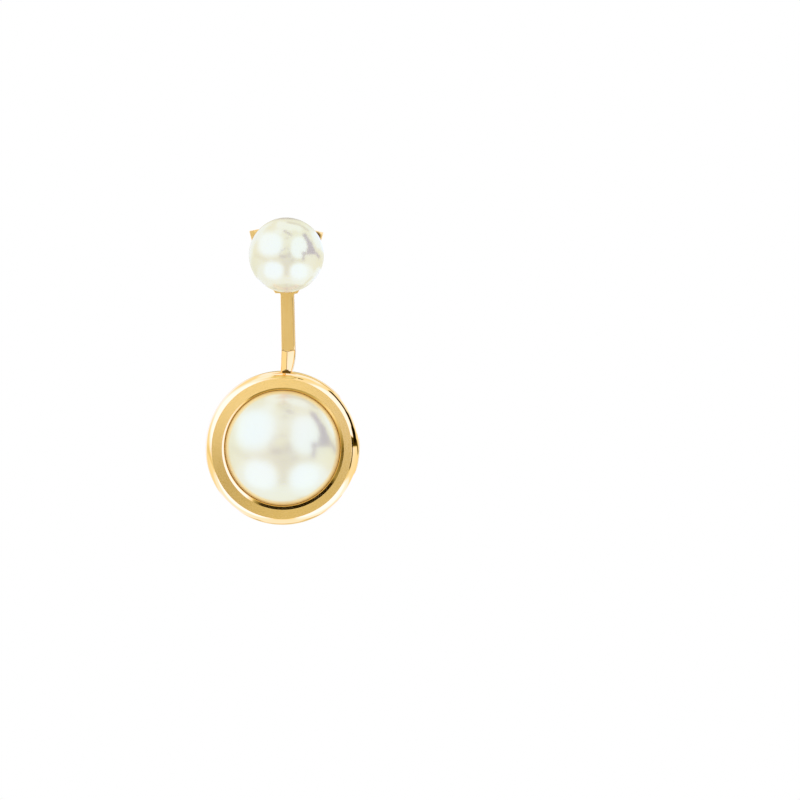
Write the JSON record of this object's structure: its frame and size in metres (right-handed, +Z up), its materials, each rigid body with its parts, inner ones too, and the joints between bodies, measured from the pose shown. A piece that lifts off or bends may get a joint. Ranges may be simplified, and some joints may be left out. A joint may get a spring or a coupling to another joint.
{
  "type": "pearl earring",
  "caption": "Front-and-back pearl earring: a round pearl stud before the lobe and, hung from its post behind it, a gold bar that turns forward to a round bezel with a domed pearl.",
  "frame": {"origin": "on the post's axis, in the middle of the gap where the ear lobe goes, where the earring pins on", "axes": "+X to the right seen from the front, +Y back through the lobe along the post, +Z up; the bezel hangs down -Z"},
  "size_m": [0.0164, 0.0195, 0.0328],
  "materials": {
    "gold": "gold plate on brass: mirror polish on rims, bevels and link, fine satin on the bezel's flat face and the bar",
    "pearl": "smooth white pearl lustre over a glass core, with faint pink and green orient"
  },
  "bodies": {
    "stud": {"stud_pearl": "pearl", "stud_post": "gold", "ear_nut": "gold"},
    "jacket": {"jacket_frame": "gold", "jacket_pearl": "pearl"}
  },
  "joints": [
    {"name": "jacket_swing", "type": "hinge", "parent": "stud", "child": "jacket", "pos_m": [0, 0, 0], "axis": [0, 1, 0], "range_deg": [-40, 40]}
  ]
}
